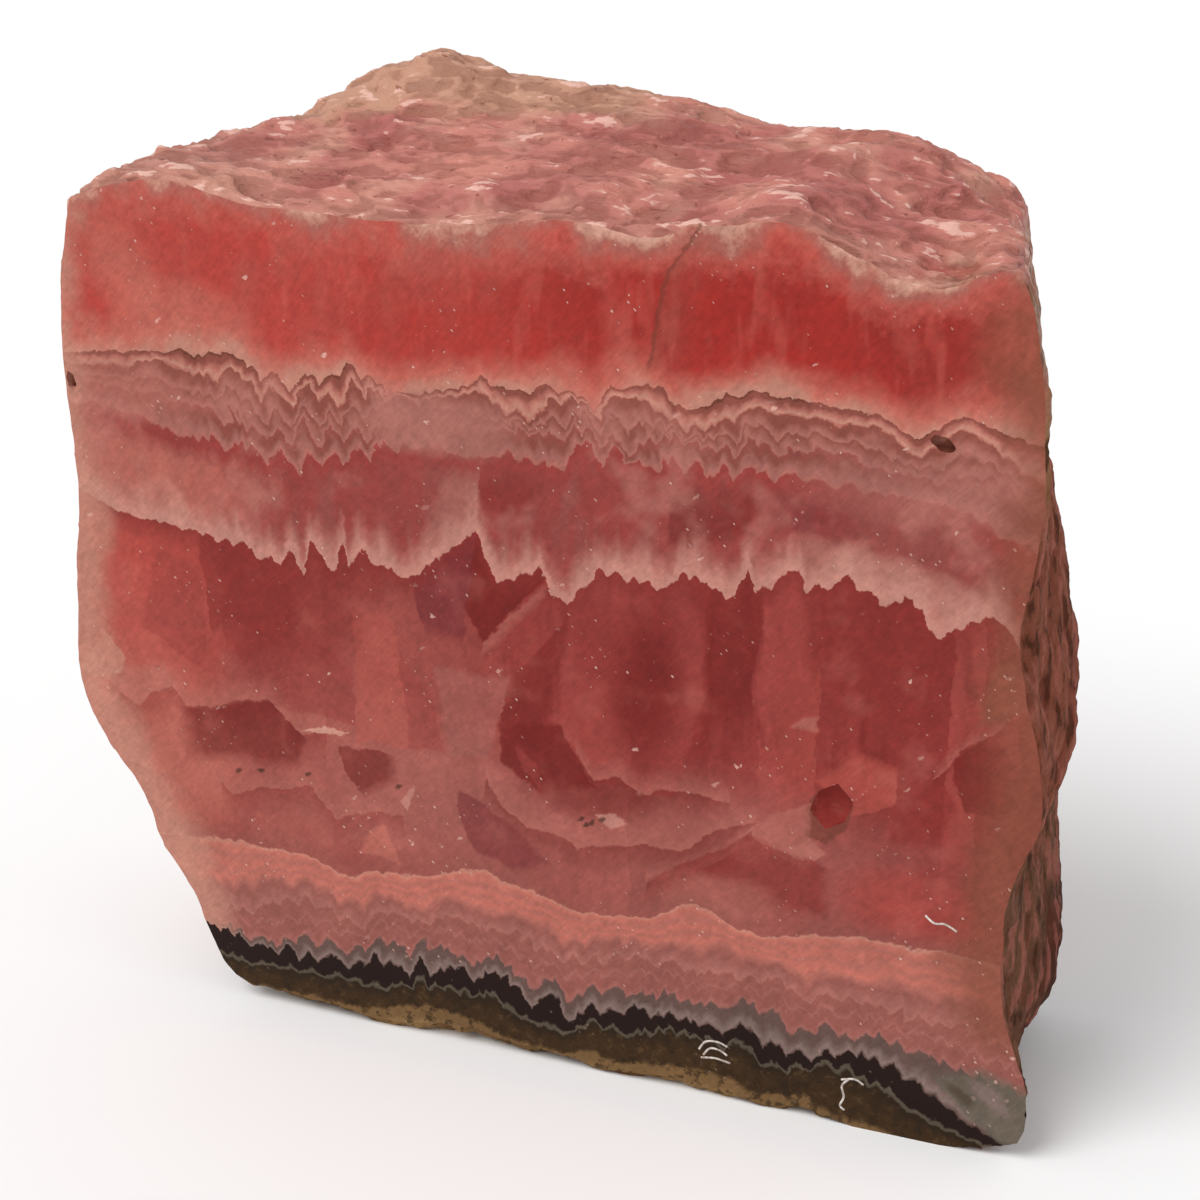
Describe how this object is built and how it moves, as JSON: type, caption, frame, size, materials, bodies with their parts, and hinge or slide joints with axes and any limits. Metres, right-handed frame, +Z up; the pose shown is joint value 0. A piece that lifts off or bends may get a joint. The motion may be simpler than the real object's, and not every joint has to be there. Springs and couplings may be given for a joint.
{
  "type": "rhodochrosite slice",
  "caption": "Thick slice of banded pink stone, cut flat at the front and back and broken all round, that stands upright on its dark base.",
  "frame": {"origin": "middle of the bounding box at the height of the base, on the surface that the stone stands on", "axes": "+Z up, +Y from the polished front towards the sawn back, +X to the right as seen from the front"},
  "size_m": [0.09, 0.025, 0.0862],
  "materials": {
    "rhodochrosite": "banded pink and rose carbonate, semi-polished on the cut faces and rough where broken, with a dark brown and black base"
  },
  "bodies": {
    "root": {"rhodochrosite_slice": "rhodochrosite"}
  },
  "joints": []
}
